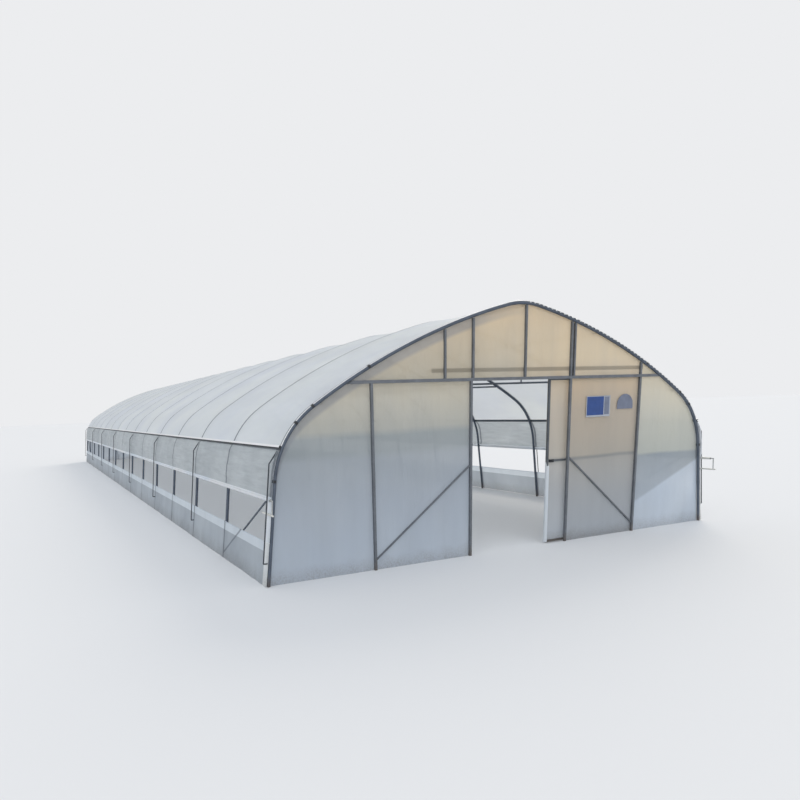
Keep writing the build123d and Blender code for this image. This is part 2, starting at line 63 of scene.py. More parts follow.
RAIL_HALF = 0.0255                     # half the eave channel's width
ROLL_X, ROLL_Z, ROLL_R = 3.8634, 1.0865, 0.0165
DOORWAY = (-0.852, 0.898)
LEAF = (0.543, 2.343)
REAR_LEAF = (-0.877, 0.923)
MID_BAR = 1.257
BRACE_FOOT, BRACE_SLOPE = 0.09, 0.58     # end bays' wall braces

KNEE = (FOOT_X - LEG_HEIGHT * tan(LEAN), LEG_HEIGHT)
SHOULDER = (KNEE[0] - SHOULDER_RADIUS * cos(LEAN), KNEE[1] - SHOULDER_RADIUS * sin(LEAN))
CROWN = (SHOULDER[0] - (CROWN_RADIUS - SHOULDER_RADIUS) * cos(SHOULDER_END),
         SHOULDER[1] - (CROWN_RADIUS - SHOULDER_RADIUS) * sin(SHOULDER_END))
RIDGE = (0.0, CROWN[1] + sqrt((CROWN_RADIUS - RIDGE_RADIUS) ** 2 - CROWN[0] ** 2))
CROWN_END = atan2(RIDGE[1] - CROWN[1], -CROWN[0])
RIDGE_Z = RIDGE[1] + RIDGE_RADIUS
LEG_RUN = LEG_HEIGHT / cos(LEAN)
SHOULDER_RUN = SHOULDER_RADIUS * (SHOULDER_END - LEAN)
CROWN_RUN = CROWN_RADIUS * (CROWN_END - SHOULDER_END)
ARCH_RUN = LEG_RUN + SHOULDER_RUN + CROWN_RUN + RIDGE_RADIUS * (pi / 2 - CROWN_END)
EAVE_ANGLE = asin((EAVE_HEIGHT - SHOULDER[1]) / SHOULDER_RADIUS)
RAIL_HALF_ANGLE = atan2(RAIL_HALF, SHOULDER_RADIUS + ARCH_R)
EAVE_LOW = LEG_RUN + SHOULDER_RADIUS * (EAVE_ANGLE - RAIL_HALF_ANGLE - LEAN)
EAVE_HIGH = LEG_RUN + SHOULDER_RADIUS * (EAVE_ANGLE + RAIL_HALF_ANGLE - LEAN)
SKIN = ARCH_R + 0.003                 # middle of a film that lies on the arches
TIE_Z = RIDGE_Z - 1.015                # middle of the tie beam
BEAM_UNDER = TIE_Z - 0.02
RAIL_Z = TIE_Z + 0.125
SIDES = ((-1, "left"), (1, "right"))
ENDS = ((-1, "front"), (1, "rear"))
LEAF_Z = (0.015, TIE_Z - 0.005)


def arch(run):
    """Point of the arch's middle line and the angle of its outward side, at a length from the ground."""
    if run < LEG_RUN:
        return FOOT_X - run * sin(LEAN), run * cos(LEAN), LEAN
    if run < LEG_RUN + SHOULDER_RUN:
        angle = LEAN + (run - LEG_RUN) / SHOULDER_RADIUS
        return (SHOULDER[0] + SHOULDER_RADIUS * cos(angle),
                SHOULDER[1] + SHOULDER_RADIUS * sin(angle), angle)
    run -= LEG_RUN + SHOULDER_RUN
    if run < CROWN_RUN:
        angle = SHOULDER_END + run / CROWN_RADIUS
        return CROWN[0] + CROWN_RADIUS * cos(angle), CROWN[1] + CROWN_RADIUS * sin(angle), angle
    angle = min(CROWN_END + (run - CROWN_RUN) / RIDGE_RADIUS, pi / 2)
    return RIDGE_RADIUS * cos(angle), RIDGE[1] + RIDGE_RADIUS * sin(angle), angle


def off_arch(run, out, side=1):
    """Point that lies outwards of the arch's middle line, on either side of the house."""
    x, z, angle = arch(run)
    return side * (x + out * cos(angle)), z + out * sin(angle)


def spread(start, end, count):
    """Even steps from start to end, both among them."""
    return [start + (end - start) * i / count for i in range(count + 1)]


def wave(u, v, seed=0.0):
    """Smooth noise between about -1 and 1 over two lengths."""
    return noise.noise(Vector((u + seed, v + 7.3, seed)))


# Meshes
def mesh_object(name, verts, faces, material, smooth=True):
    mesh = bpy.data.meshes.new(name)
    mesh.from_pydata(verts, [], faces)
    mesh.validate()
    mesh.materials.append(material)
    for polygon in mesh.polygons:
        polygon.use_smooth = smooth
    made = bpy.data.objects.new(name, mesh)
    bpy.context.scene.collection.objects.link(made)
    return made


def grid_faces(rows, columns, keep=None, first=0, closed=False):
    faces = []
    for r in range(rows - 1):
        for c in range(columns if closed else columns - 1):
            if keep is None or keep(r, c):
                after = (c + 1) % columns
                faces.append((first + r * columns + c, first + r * columns + after,
                              first + (r + 1) * columns + after, first + (r + 1) * columns + c))
    return faces


def grid_object(name, rows, material, keep=None):
    """Open sheet from rows of points."""
    verts = [point for row in rows for point in row]
    return mesh_object(name, verts, grid_faces(len(rows), len(rows[0]), keep), material)


class Tubes:
    """Round tubes gathered into one mesh."""

    def __init__(self):
        self.verts, self.faces = [], []

    def add(self, line, radius, sides=12, normal=None):
        """Tube along points; normal is a direction that every ring keeps as one of its axes."""
        line = [Vector(p) for p in line]
        first = len(self.verts)
        for i, point in enumerate(line):
            before, after = line[max(i - 1, 0)], line[min(i + 1, len(line) - 1)]
            along = (after - before).normalized()
            axis = normal or (Vector((0, 0, 1)) if abs(along.z) < 0.9 else Vector((1, 0, 0)))
            u = along.cross(Vector(axis)).normalized()
            v = along.cross(u).normalized()
            r = radius[i] if isinstance(radius, (list, tuple)) else radius
            for k in range(sides):
                turn = 2 * pi * k / sides
                self.verts.append(point + r * (cos(turn) * u + sin(turn) * v))
        self.faces += grid_faces(len(line), sides, first=first, closed=True)
        last = first + (len(line) - 1) * sides
        self.faces.append(tuple(range(first, first + sides)))
        self.faces.append(tuple(range(last + sides - 1, last - 1, -1)))

    def box(self, centre, u, v, w):
        """Block with half sides u, v and w about a centre."""
        first = len(self.verts)
        centre, u, v, w = (Vector(a) for a in (centre, u, v, w))
        for a in (-1, 1):
            for b in (-1, 1):
                for c in (-1, 1):
                    self.verts.append(centre + a * u + b * v + c * w)
        for quad in ((0, 1, 3, 2), (4, 6, 7, 5), (0, 4, 5, 1), (2, 3, 7, 6), (0, 2, 6, 4), (1, 5, 7, 3)):
            self.faces.append(tuple(first + i for i in quad))

    def made(self, name, material):
        made = mesh_object(name, self.verts, self.faces, material)
        made.data.set_sharp_from_angle(angle=radians(40))
        return made


# Materials
class Graph:
    """Short way to lay out a material's nodes."""

    def __init__(self, name):
        self.material = bpy.data.materials.new(name)
        self.material.use_nodes = True
        self.tree = self.material.node_tree
        self.shader = self.tree.nodes["Principled BSDF"]
        self.output = self.tree.nodes["Material Output"]
        place = self.tree.nodes.new("ShaderNodeTexCoord")
        self.object = place.outputs["Object"]

    def node(self, kind, **settings):
        made = self.tree.nodes.new(kind)
        for key, value in settings.items():
            setattr(made, key, value)
        return made

    def link(self, source, target):
        self.tree.links.new(source, target)

    def scaled(self, x, y, z):
        mapping = self.node("ShaderNodeMapping")
        mapping.inputs["Scale"].default_value = (x, y, z)
        self.link(self.object, mapping.inputs["Vector"])
        return mapping.outputs["Vector"]

    def noise(self, scale, detail=3.0, roughness=0.55, stretch=(1, 1, 1), distortion=0.0):
        made = self.node("ShaderNodeTexNoise")
        made.inputs["Scale"].default_value = scale
        made.inputs["Detail"].default_value = detail
        made.inputs["Roughness"].default_value = roughness
        made.inputs["Distortion"].default_value = distortion
        self.link(self.scaled(*stretch), made.inputs["Vector"])
        return made.outputs["Fac"]

    def axis(self, name):
        split = self.node("ShaderNodeSeparateXYZ")
        self.link(self.object, split.inputs["Vector"])
        return split.outputs[name]

    def math(self, operation, a, b=None):
        made = self.node("ShaderNodeMath", operation=operation)
        for socket, value in zip(made.inputs, (a, b)):
            if isinstance(value, (int, float)):
                socket.default_value = value
            elif value is not None:
                self.link(value, socket)
        return made.outputs["Value"]

    def fit(self, source, low, high, new_low=0.0, new_high=1.0):
        """Straight rescale of a value, held at its ends."""
        made = self.node("ShaderNodeMapRange")
        for name, value in (("From Min", low), ("From Max", high),
                            ("To Min", new_low), ("To Max", new_high)):
            made.inputs[name].default_value = value
        self.link(source, made.inputs["Value"])
        return made.outputs["Result"]

    def mix(self, share, a, b):
        made = self.node("ShaderNodeMix", data_type="RGBA")
        sockets = {"share": made.inputs[0], "a": made.inputs[6], "b": made.inputs[7]}
        for key, value in (("share", share), ("a", a), ("b", b)):
            if isinstance(value, tuple):
                sockets[key].default_value = (*value, 1.0)
            elif isinstance(value, (int, float)):
                sockets[key].default_value = value
            else:
                self.link(value, sockets[key])
        return made.outputs[2]

    def ramp(self, source, tones):
        """Colour by height, from rows of height and display numbers."""
        made = self.node("ShaderNodeValToRGB")
        top = tones[-1][0]
        stops = made.color_ramp.elements
        for height, *tone in tones[1:-1]:
            stops.new(height / top).color = (*film_tone(*tone), 1.0)
        stops[0].color = (*film_tone(*tones[0][1:]), 1.0)
        stops[len(stops) - 1].color = (*film_tone(*tones[-1][1:]), 1.0)
        self.link(self.fit(source, 0.0, top), made.inputs["Fac"])
        return made.outputs["Color"]

    def bump(self, height, strength, distance=0.01, onto=None):
        made = self.node("ShaderNodeBump")
        made.inputs["Strength"].default_value = strength
        made.inputs["Distance"].default_value = distance
        self.link(height, made.inputs["Height"])
        if onto is not None:
            self.link(onto, made.inputs["Normal"])
        return made.outputs["Normal"]


def shade(r, g, b):
    """Linear colour from the usual 0-255 display numbers."""
    return tuple((v / 255 / 12.92) if v / 255 <= 0.04045 else ((v / 255 + 0.055) / 1.055) ** 2.4
                 for v in (r, g, b))


FILM_LIFT, FILM_MOST = 1.5, 0.93


def film_tone(r, g, b):
    """Colour of a film that looks like the given display numbers once it is lit."""
    return tuple(min(FILM_MOST, c * FILM_LIFT) for c in shade(r, g, b))


STREAK = film_tone(112, 118, 124)
TUBE_SHADE_TONE = shade(84, 94, 110)        # painted shade: the dark line of a tube behind the film, where it blocks the light through it
TUBE_SHADE_WIDTH = (0.016, 0.038)             # from such a tube's middle: where its painted shade line fades, and is gone
PALE_END = (HALF - 0.145, HALF - 0.125)         # where the skirt turns pale, along the house
FILM_DUST = shade(112, 98, 84)
STEEL_DUST = shade(106, 92, 78)
RUST = shade(112, 74, 48)


def film_graph(name, colour_of, crinkle=(1, 1, 1), crinkle_scale=9.0, crinkle_strength=0.35,
               see_through=0.05, glow=0.38, soil=0.0, arch_shade_lines=0.0, ends=None, streaks=(1.0, 0.14)):
    """Translucent film: crinkles, painted shade lines where the arches lie behind it, white ends, soil
    splash near the ground.
    """
    g = Graph(name)
    colour = colour_of(g)
    streak_scale, streak_share = streaks
    streak = g.fit(g.noise(streak_scale, 3.0, stretch=crinkle), 0.3, 0.75)
    colour = g.mix(g.math("MULTIPLY", streak, streak_share), colour, STREAK)
    if arch_shade_lines:
        # Painted shade along each arch, where the tube behind the film blocks the light through it
        beside = g.math("PINGPONG", g.axis("Y"), BAY / 2)
        line = g.math("MULTIPLY", g.fit(beside, *TUBE_SHADE_WIDTH, 1.0, 0.0), arch_shade_lines)
        colour = g.mix(line, colour, TUBE_SHADE_TONE)
    if ends:
        out = g.math("ABSOLUTE", g.axis("Y"))
        colour = g.mix(g.fit(out, *PALE_END), colour, film_tone(*ends))
    if soil:
        height = g.math("ADD", g.axis("Z"), g.math("MULTIPLY", g.noise(5.0, 5.0), -0.20))
        dirt = g.fit(height, -0.10, soil, 1.0, 0.0)
        speck = g.fit(g.noise(42.0, 3.0, 0.7), 0.42, 0.62)
        dirt = g.math("MULTIPLY", dirt, g.math("ADD", g.math("MULTIPLY", speck, 0.6), 0.4))
        colour = g.mix(g.math("MULTIPLY", dirt, 0.42), colour, FILM_DUST)
    g.link(colour, g.shader.inputs["Base Color"])
    g.link(g.fit(g.noise(5.0, 3.0), 0.3, 0.7, 0.34, 0.52), g.shader.inputs["Roughness"])
    g.shader.inputs["Specular IOR Level"].default_value = 0.45
    broad = g.bump(g.noise(crinkle_scale, 4.0, 0.6, stretch=crinkle, distortion=0.4),
                   crinkle_strength, 0.02)
    fine = g.bump(g.noise(60.0, 2.0), 0.05, 0.004, onto=broad)
    g.link(fine, g.shader.inputs["Normal"])
    through = g.node("ShaderNodeBsdfTranslucent")
    g.link(colour, through.inputs["Color"])
    g.link(fine, through.inputs["Normal"])
    lit = g.node("ShaderNodeMixShader")
    lit.inputs["Fac"].default_value = glow
    g.link(g.shader.outputs["BSDF"], lit.inputs[1])
    g.link(through.outputs["BSDF"], lit.inputs[2])
    clear = g.node("ShaderNodeBsdfTransparent")
    whole = g.node("ShaderNodeMixShader")
    whole.inputs["Fac"].default_value = see_through
    g.link(lit.outputs["Shader"], whole.inputs[1])
    g.link(clear.outputs["BSDF"], whole.inputs[2])
    g.link(whole.outputs["Shader"], g.output.inputs["Surface"])
    return g.material


def cloudy(pale, deep):
    """Two tones in soft clouds."""
    return lambda g: g.mix(g.fit(g.noise(0.7, 4.0), 0.35, 0.68), film_tone(*deep), film_tone(*pale))


TOP_BAND = 0.12                        # the skirt's doubled top edge


def skirt_tones(g):
    """Skirt film with its top edge doubled over, and painted shade lines where the end bays' braces lie
    behind it.
    """
    body = cloudy((160, 167, 173), (145, 152, 159))(g)
    # The end bays' braces: painted shade lines where they lie behind the film
    inward = g.math("SUBTRACT", g.math("ABSOLUTE", g.axis("Y")), HALF - BAY + ARCH_R)
    rise = g.math("ADD", g.math("MULTIPLY", inward, BRACE_SLOPE), BRACE_FOOT)
    beside = g.math("ABSOLUTE", g.math("SUBTRACT", g.axis("Z"), rise))
    brace = g.math("MULTIPLY", g.fit(beside, 0.013, 0.026, 0.65, 0.0), g.fit(inward, -0.01, 0.0))
    band = g.fit(g.axis("Z"), SKIRT_TOP - TOP_BAND - 0.005, SKIRT_TOP - TOP_BAND + 0.005)
    body = g.mix(band, body, film_tone(190, 197, 203))
    return g.mix(brace, body, TUBE_SHADE_TONE)


# Painted light and shade on the gable film, by height: brighter and warmer where the sky behind lights it,
# darker bands where shade falls
LEFT_TONES = ((0.0, 168, 176, 186), (0.35, 163, 171, 181), (0.95, 154, 161, 170), (1.5, 146, 152, 158),
              (1.60, 137, 143, 146), (1.79, 139, 144, 145), (1.88, 165, 163, 154), (2.25, 180, 173, 157),
              (2.55, 176, 165, 144), (3.4, 204, 181, 147))
RIGHT_TONES = ((0.0, 168, 173, 179), (0.7, 165, 167, 169), (1.22, 169, 166, 161), (1.26, 142, 143, 142),
               (1.30, 174, 167, 156), (2.0, 182, 170, 154), (2.5, 200, 182, 156), (2.75, 209, 187, 156),
               (3.4, 204, 181, 148))
OUTER_TONES = ((0.0, 168, 177, 188), (1.20, 137, 144, 150), (1.25, 168, 170, 163), (1.7, 179, 178, 167),
               (2.2, 199, 190, 170), (2.6, 206, 191, 163))
TO_RIGHT, TO_OUTER = (-0.9, 0.9), (2.32, 2.36)  # stretches of X where one set gives way to the next
LIT_PATCH_SLOPE = 0.425                     # rise of the upper edge of the painted pool of light in the outer bay
RAIL_SHADE_SPAN = (-1.50, 2.42)             # stretch of X where the door rail's painted shade lies on the film


def gable_tones(leaf=False):
    """Painted light and shade of the gable's film; the leaf, a second sheet, keeps to the right-hand ones.
    """
    def colour_of(g):
        wobble = g.math("MULTIPLY", g.math("SUBTRACT", g.noise(0.9, 2.0), 0.5), 0.07)
        height = g.math("ADD", g.axis("Z"), wobble)
        right = g.ramp(height, RIGHT_TONES)
        if leaf:
            return right
        left = g.ramp(height, LEFT_TONES)
        x = g.axis("X")
        colour = g.mix(g.fit(x, *TO_RIGHT), left, right)
        # Outer bay, with a painted pool of light under a slanting line
        outer = g.ramp(height, OUTER_TONES)
        slope = g.math("SUBTRACT", g.axis("Z"), g.math("MULTIPLY", x, LIT_PATCH_SLOPE))
        under = g.fit(slope, -0.57, -0.52, 1.0, 0.0)
        low = g.math("MULTIPLY", under, g.fit(g.axis("Z"), 1.1, 1.2, 1.0, 0.0))
        outer = g.mix(low, outer, film_tone(175, 184, 195))
        colour = g.mix(g.fit(x, *TO_OUTER), colour, outer)
        # Painted shade of the door rail behind the film
        start, end = RAIL_SHADE_SPAN
        rail = g.math("ABSOLUTE", g.math("SUBTRACT", g.axis("Z"), RAIL_Z))
        behind = g.math("MULTIPLY", g.fit(rail, 0.022, 0.034, 0.45, 0.0), g.fit(x, start, start + 0.01))
        behind = g.math("MULTIPLY", behind, g.fit(x, end - 0.01, end, 1.0, 0.0))
        colour = g.mix(behind, colour, film_tone(120, 112, 98))
        # A darker band under the left half of the arch
        near_arch = g.node("ShaderNodeAttribute", attribute_name="under_arch").outputs["Fac"]
        band = g.math("MULTIPLY", g.fit(near_arch, 0.12, 0.17, 1.0, 0.0), g.fit(x, -0.9, 0.2, 0.55, 0.0))
        colour = g.mix(band, colour, film_tone(118, 120, 128))
        cloud = g.fit(g.noise(0.8, 4.0), 0.35, 0.68, 0.0, 0.18)
        return g.mix(cloud, colour, film_tone(176, 178, 176))
    return colour_of


def steel_material(name, colour, metal=0.55, rough=(0.38, 0.62), rust=0.10):
    """Dull zinc-coated tube: cloudy, with a spangle, and with rust specks and dust low down."""
    g = Graph(name)
    cloud = g.fit(g.noise(6.0, 5.0), 0.3, 0.7)
    lit = tuple(min(1.0, c * 1.5) for c in colour)
    tone = g.mix(cloud, colour, lit)
    spangle = g.node("ShaderNodeTexVoronoi", feature="F1")
    spangle.inputs["Scale"].default_value = 90.0
    g.link(g.object, spangle.inputs["Vector"])
    tone = g.mix(g.math("MULTIPLY", spangle.outputs["Distance"], 0.5), tone,
                 tuple(c * 0.7 for c in colour))
    if rust:
        spot = g.fit(g.noise(24.0, 6.0, 0.7), 0.60, 0.72)
        low = g.fit(g.axis("Z"), 0.05, 0.9, 1.0, 0.25)
        tone = g.mix(g.math("MULTIPLY", g.math("MULTIPLY", spot, low), rust * 5), tone, RUST)
        dust = g.fit(g.math("ADD", g.axis("Z"), g.math("MULTIPLY", g.noise(9.0, 4.0), 0.1)),
                     0.03, 0.22, 0.7, 0.0)
        tone = g.mix(dust, tone, STEEL_DUST)
    g.link(tone, g.shader.inputs["Base Color"])
    g.shader.inputs["Metallic"].default_value = metal
    g.link(g.fit(g.noise(14.0, 4.0), 0.3, 0.7, *rough), g.shader.inputs["Roughness"])
    g.link(g.bump(g.noise(160.0, 3.0), 0.12, 0.001), g.shader.inputs["Normal"])
    return g.material


def plastic_material(name, colour, mottle=0.12, rough=(0.35, 0.55)):
    g = Graph(name)
    worn = tuple(c * (1 - mottle * 2) for c in colour)
    tone = g.mix(g.fit(g.noise(11.0, 5.0), 0.35, 0.75), colour, worn)
    g.link(tone, g.shader.inputs["Base Color"])
    g.link(g.fit(g.noise(20.0, 3.0), 0.3, 0.7, *rough), g.shader.inputs["Roughness"])
    g.link(g.bump(g.noise(120.0, 3.0), 0.08, 0.001), g.shader.inputs["Normal"])
    return g.material


ROOF_FILM = film_graph("roof_film", cloudy((203, 207, 211), (196, 200, 205)), crinkle=(1.0, 0.35, 1.0),
                       crinkle_scale=3.0, crinkle_strength=0.20, arch_shade_lines=0.75)
HEM_FILM = film_graph("hem_film", cloudy((220, 223, 226), (208, 212, 216)), crinkle_strength=0.1,
                      see_through=0.0, glow=0.08)
WALL_FILM = film_graph("wall_film", cloudy((176, 181, 183), (158, 164, 167)), crinkle=(1.0, 0.28, 2.6),
                       crinkle_scale=7.0, crinkle_strength=0.9, arch_shade_lines=0.7, streaks=(7.0, 0.32))
SKIRT_FILM = film_graph("skirt_film", skirt_tones, crinkle=(1.0, 2.2, 0.4), crinkle_scale=4.0,
                        crinkle_strength=0.45, see_through=0.06, soil=0.13, arch_shade_lines=0.7,
                        ends=(204, 211, 218))
STRIP_FILM = film_graph("strip_film", cloudy((206, 212, 219), (192, 199, 207)), crinkle=(1.0, 1.0, 0.4),
                        crinkle_scale=5.0, crinkle_strength=0.3, see_through=0.02, glow=0.2)
GABLE_FILM = film_graph("gable_film", gable_tones(), crinkle=(3.0, 1.0, 0.35), crinkle_scale=2.4,
                        crinkle_strength=0.45, see_through=0.05, soil=0.10)
DOOR_FILM = film_graph("door_film", gable_tones(leaf=True), crinkle=(3.0, 1.0, 0.4), crinkle_scale=2.4,
                       crinkle_strength=0.30, see_through=0.05, soil=0.08)
TUBE_STEEL = steel_material("arch_steel", shade(86, 94, 106))
INNER_STEEL = steel_material("inner_steel", shade(96, 104, 114))
GABLE_STEEL = steel_material("gable_frame_steel", shade(106, 110, 116), metal=0.45)
DOOR_STEEL = steel_material("door_frame_steel", shade(88, 92, 96), metal=0.4)
RAIL_STEEL = steel_material("rail_steel", shade(80, 86, 92), metal=0.5)
ROD_STEEL = steel_material("rod_steel", shade(176, 178, 178), metal=0.5, rust=0.03)
GUARD_STEEL = steel_material("guard_steel", shade(62, 67, 74), metal=0.35)
CLIP_WHITE = plastic_material("clip_white", shade(226, 227, 226))
CLIP_DARK = plastic_material("clip_dark", shade(40, 43, 48))
GRIP_WHITE = plastic_material("grip_white", shade(222, 221, 214))

# Nodes that show as they were packed, by the end of their names
FINISH = {"purlin": INNER_STEEL, "collar_ties": INNER_STEEL, "truss_struts": INNER_STEEL,
          "end_bay_braces": INNER_STEEL, "eave_rail": RAIL_STEEL, "roll_tube": ROD_STEEL,
          "roll_crank": ROD_STEEL, "curtain_guards": GUARD_STEEL, "tie_beam": GABLE_STEEL,
          "gable_posts": GABLE_STEEL, "gable_uprights": GABLE_STEEL, "gable_braces": GABLE_STEEL,
          "door_rail": DOOR_STEEL, "door_frame": DOOR_STEEL, "door_hangers": ROD_STEEL,
          "door_handle": CLIP_DARK}
for name, node in NODES.items():
    for ending, material in FINISH.items():
        if name.endswith(ending):
            for place in node.material_slots:
                place.material = material


def dress(made, body, replaced=()):
    """Puts a piece on its body, with the nodes it stands for."""
    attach(made, body)
    if replaced:
        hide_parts(*replaced)
    return made


BAY_MARKS = (0.02, 0.06, 0.12, 0.2, 0.29, 0.38, 0.5, 0.62, 0.71, 0.8, 0.88, 0.94, 0.98)


def columns():
    """Y of a sheet's columns along the house, closer together beside the arches."""
    found = [-END_FACE]
    for station in STATIONS:
        found.append(station)
        if station < HALF - 0.01:
            found += [station + BAY * mark for mark in BAY_MARKS]
    return found + [END_FACE]


def bay_sag(y):
    """0 at an arch, 1 in the middle of a bay."""
    if abs(y) > HALF:
        return 0.0
    part = (y + HALF) / BAY
    part -= floor(part)
    return 4 * part * (1 - part)


# Roof: the sheet sags between the arches and is lapped round the outer side of the two end arches
ROOF_SAG = 0.042
ROOF_RIPPLE = 0.004
ROOF_EASE = 0.5                        # length over which the sag grows from the eave
LAP = (0.75, 0.56, 0.38, 0.2)          # angles round the end arches, from the outer edge in


def roof_sheet():
    half = spread(EAVE_HIGH, ARCH_RUN, 46)
    path = [(run, 1) for run in half[:-1]] + [(run, -1) for run in reversed(half)]
    places = [(-HALF - SKIN * sin(turn), SKIN * cos(turn)) for turn in LAP]
    places += [(y, SKIN) for y in columns()[1:-1]]
    places += [(HALF + SKIN * sin(turn), SKIN * cos(turn)) for turn in LAP[::-1]]
    rows = []
    for run, side in path:
        row = []
        for y, out in places:
            ease = min(1.0, (run - EAVE_HIGH) / ROOF_EASE)
            sag = ROOF_SAG * bay_sag(y) * ease * (0.85 + 0.3 * wave(run * 0.5, y * 0.3, seed=3.1))
            ripple = ROOF_RIPPLE * wave(run * 1.6 * side, y * 2.3, seed=9.0) * bay_sag(y) * ease
            x, z = off_arch(run, out - sag + ripple, side)
            row.append((0.0 if run == half[-1] else x, y, z))
        rows.append(row)
    made = grid_object("roof_cover", rows, ROOF_FILM)
    made.data.materials.append(HEM_FILM)
    across = len(places) - 1
    for i, face in enumerate(made.data.polygons):
        from_end = min(i % across, across - 1 - i % across)
        if from_end < len(LAP) - 1:
            face.material_index = 1
    return made


roof = dress(roof_sheet(), "house", ("left_roof_film", "right_roof_film"))

# The sheet's edge, pressed into the upper half of the eave channel: places across the channel, as
# shares of its half width, and their distance from the arch's middle line
EAVE_EDGE = ((1.02, 0.029), (1.06, 0.050), (0.75, 0.0515), (0.3, 0.0513), (-0.05, 0.0505))
for side, prefix in SIDES:
    rows = []
    for part, out in EAVE_EDGE:
        turn = EAVE_ANGLE + part * RAIL_HALF_ANGLE
        radius = SHOULDER_RADIUS + out
        rows.append([(side * (SHOULDER[0] + radius * cos(turn)), y,
                      SHOULDER[1] + radius * sin(turn) + 0.0006 * wave(y * 3.0, part, seed=side))
                     for y in columns()])
    edge = dress(grid_object(prefix + "_eave_edge", rows, HEM_FILM), "house")


# Roll-up curtains
ROLL_TURNS = 5
ROLL_PITCH = 0.0005
ROLL_STEPS = 12                        # points in each turn of the roll
ROLL_CLEAR = 0.0013                    # from the tube out to the innermost turn
CURTAIN_REST = 0.0325                  # from the arch's middle line out to the curtain
LEFT_BULGE = 0.010
RIGHT_BULGE = (0.028, 0.045)           # beside a guard, and what is added away from it
BULGE_REACH = 0.7                      # from a guard to where the bulge is full
GUARD_REACH, GUARD_LIMIT = 0.12, 0.0735         # this near a guard, the curtain stays inside it
# Horizontal folds: depth, how close they lie across and along the wall, and seed
CURTAIN_FOLDS = ((0.009, 7.0, 0.55, 2.2), (0.006, 19.0, 1.1, 6.2), (0.0035, 34.0, 2.4, 4.2))


def curtain(side, name):
    """Film from the eave rail down to the roll tube, and wound round it."""
    roll_run = ROLL_Z / cos(LEAN)
    hang = spread(EAVE_LOW, roll_run, 18)
    rows = []
    marks = columns()
    for i, run in enumerate(hang):
        part = i / (len(hang) - 1)
        row = []
        for y in marks:
            loose = min(1.0, part / 0.2, (1 - part) / 0.12) ** 0.7
            guard = min(abs(y - place) for place in STATIONS[::2])
            if side > 0:
                bulge = RIGHT_BULGE[0] + RIGHT_BULGE[1] * min(1.0, guard / BULGE_REACH)
                out = CURTAIN_REST + bulge * loose * (0.9 + 0.5 * wave(y * 0.45, 0.3, seed=5.0))
            else:
                out = CURTAIN_REST + LEFT_BULGE * loose
            for depth, up_wall, along_wall, seed in CURTAIN_FOLDS:
                out += depth * loose * wave(run * up_wall, y * along_wall, seed=seed + side)
            out = min(max(out, CURTAIN_REST - 0.002), GUARD_LIMIT if guard < GUARD_REACH else 0.2)
            x, z = off_arch(run, out, side)
            row.append((x, y, z))
        rows.append(row)
    start = LEAN + pi + 0.35
    for k in range(ROLL_STEPS * ROLL_TURNS + 1):
        turn = start + 2 * pi * k / ROLL_STEPS
        radius = ROLL_R + ROLL_CLEAR + ROLL_PITCH * (ROLL_TURNS - k / ROLL_STEPS)
        row = []
        for y in marks:
            swell = 1 + 0.06 * wave(y * 1.7, k * 0.05, seed=side) if k <= ROLL_STEPS else 1.0
            row.append((side * (ROLL_X - radius * swell * cos(turn - pi)), y,
                        ROLL_Z - radius * swell * sin(turn - pi)))
        rows.append(row)
    made = grid_object(name, rows, WALL_FILM)
    made.data.materials.append(STRIP_FILM)
    across = len(marks) - 1
    # The roll takes the paler strip film; on the right side so do the end columns, a painted highlight
    # where that edge is lit from behind
    for i, face in enumerate(made.data.polygons):
        if i >= (len(hang) - 2) * across or (side > 0 and i % across in (0, across - 1)):
            face.material_index = 1
    mean_radius = ROLL_R + 0.002
    length = EAVE_LOW - roll_run + 2 * pi * mean_radius * ROLL_TURNS
    return made, length


for side, prefix in SIDES:
    made, length = curtain(side, prefix + "_curtain")
    dress(made, "house", (prefix + "_side_curtain",))


# Skirts
SKIRT_RUN = SKIRT_TOP / cos(LEAN)
SKIRT_COLUMNS = 26                     # in each bay
HEM_R = 0.006


def skirt(side, name):
    marks = []
    for station in STATIONS:
        steps = range(SKIRT_COLUMNS if station < HALF - 0.01 else 1)
        marks += [station + BAY * k / SKIRT_COLUMNS for k in steps]
    marks = [-END_FACE] + marks + [END_FACE]
    rows = []
    for run in spread(0.0, SKIRT_RUN, 11):
        low = 1 - run / SKIRT_RUN
        row = []
        for y in marks:
            loose = 0.35 + 0.65 * low
            out = SKIN + 0.0015 + 0.012 * loose * abs(wave(y * 2.2, run * 0.9, seed=side * 3.0))
            out += 0.007 * loose * abs(wave(y * 6.5, run * 1.5, seed=8.0 + side))
            out += 0.014 * low ** 3 * (0.5 + wave(y * 1.1, 0.0, seed=side * 2.0))
            x, z = off_arch(run, max(out, ARCH_R + 0.001), side)
            row.append((x, y, max(z, 0.0)))
        rows.append(row)
    return grid_object(name, rows, SKIRT_FILM)


for side, prefix in SIDES:
    hem = Tubes()
    line = []
    for y in columns():
        x, z = off_arch(SKIRT_RUN, ARCH_R + HEM_R + 0.0005 + 0.002 * wave(y * 1.3, 1.0, seed=side), side)
        line.append((x, y, z - 0.004 * bay_sag(y)))
    hem.add(line, HEM_R, 8)
    hem = dress(hem.made(prefix + "_skirt_hem", SKIRT_FILM), "house")
    made = dress(skirt(side, prefix + "_skirt"), "house", (prefix + "_skirt_film",))


# Fixed strips beside the curtains
STRIP_OUT, STRIP_RIPPLE = 0.0268, 0.0018        # from the arch's middle line, and its unevenness


